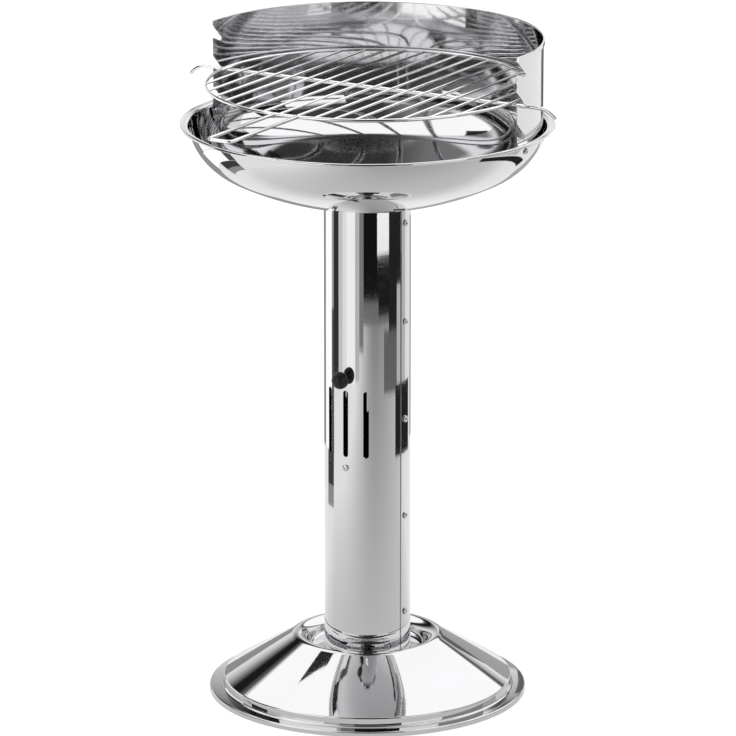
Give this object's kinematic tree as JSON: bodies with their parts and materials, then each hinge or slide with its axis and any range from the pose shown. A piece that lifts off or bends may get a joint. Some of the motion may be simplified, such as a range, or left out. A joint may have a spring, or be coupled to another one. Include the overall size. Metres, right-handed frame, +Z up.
{
  "type": "pedestal charcoal barbecue",
  "caption": "Polished steel charcoal barbecue: round base, column with air damper, dished bowl, half-round wind shield with notches, hanging wire cooking grate.",
  "frame": {"origin": "on the ground, at the middle of the bounding box with the cooking grate hung in its middle notches; the column axis stands 56 mm towards +Y from it", "axes": "+Z up, -Y to the front where the damper knob and the grate handle are, +X to the right seen from behind the barbecue looking at +Y"},
  "size_m": [0.4868, 0.5434, 0.7821],
  "materials": {
    "polished_steel": "mirror polished stainless steel",
    "chromed_wire": "bright chrome",
    "grate_steel": "plain bright wire",
    "zinc_steel": "zinc plated",
    "black_plastic": "satin black phenolic"
  },
  "bodies": {
    "stand": {"base_foot": "polished_steel", "column_front_shell": "polished_steel", "column_rear_shell": "polished_steel", "seam_screw_right_1": "zinc_steel", "seam_nut_right_1": "zinc_steel", "seam_screw_right_2": "zinc_steel", "seam_nut_right_2": "zinc_steel", "seam_screw_right_3": "zinc_steel", "seam_nut_right_3": "zinc_steel", "seam_screw_right_4": "zinc_steel", "seam_nut_right_4": "zinc_steel", "seam_screw_right_5": "zinc_steel", "seam_nut_right_5": "zinc_steel", "seam_screw_left_1": "zinc_steel", "seam_nut_left_1": "zinc_steel", "seam_screw_left_2": "zinc_steel", "seam_nut_left_2": "zinc_steel", "seam_screw_left_3": "zinc_steel", "seam_nut_left_3": "zinc_steel", "seam_screw_left_4": "zinc_steel", "seam_nut_left_4": "zinc_steel", "seam_screw_left_5": "zinc_steel", "seam_nut_left_5": "zinc_steel", "base_bolt_1": "zinc_steel", "base_nut_1": "zinc_steel", "base_bolt_2": "zinc_steel", "base_nut_2": "zinc_steel", "base_bolt_3": "zinc_steel", "base_nut_3": "zinc_steel", "base_bolt_4": "zinc_steel", "base_nut_4": "zinc_steel", "damper_guide_screw": "zinc_steel", "damper_guide_nut": "zinc_steel", "bowl": "polished_steel", "bowl_bolt_1": "zinc_steel", "bowl_nut_1": "zinc_steel", "bowl_bolt_2": "zinc_steel", "bowl_nut_2": "zinc_steel", "bowl_bolt_3": "zinc_steel", "bowl_nut_3": "zinc_steel", "bowl_bolt_4": "zinc_steel", "bowl_nut_4": "zinc_steel", "wind_shield": "polished_steel", "shield_screw_right": "zinc_steel", "shield_nut_right": "zinc_steel", "shield_screw_left": "zinc_steel", "shield_nut_left": "zinc_steel", "shield_screw_rear": "zinc_steel", "shield_nut_rear": "zinc_steel"},
    "damper": {"damper_plate": "polished_steel", "damper_knob": "black_plastic", "damper_stud": "zinc_steel"},
    "charcoal_grate": {"charcoal_grate": "grate_steel"},
    "cooking_grate": {"cooking_grate": "chromed_wire"}
  },
  "joints": [
    {"name": "damper_turn", "type": "hinge", "parent": "stand", "child": "damper", "pos_m": [0, 0.056, 0.389], "axis": [0, 0, 1], "range_deg": [-14, 0]},
    {"name": "charcoal_grate_lift", "type": "slide", "parent": "stand", "child": "charcoal_grate", "axis": [0, 0, 1], "range_m": [0, 0.09]},
    {"name": "cooking_grate_slide", "type": "slide", "parent": "stand", "child": "cooking_grate", "axis": [0, -0.9336, 0.3584], "range_m": [0, 0.4]}
  ]
}
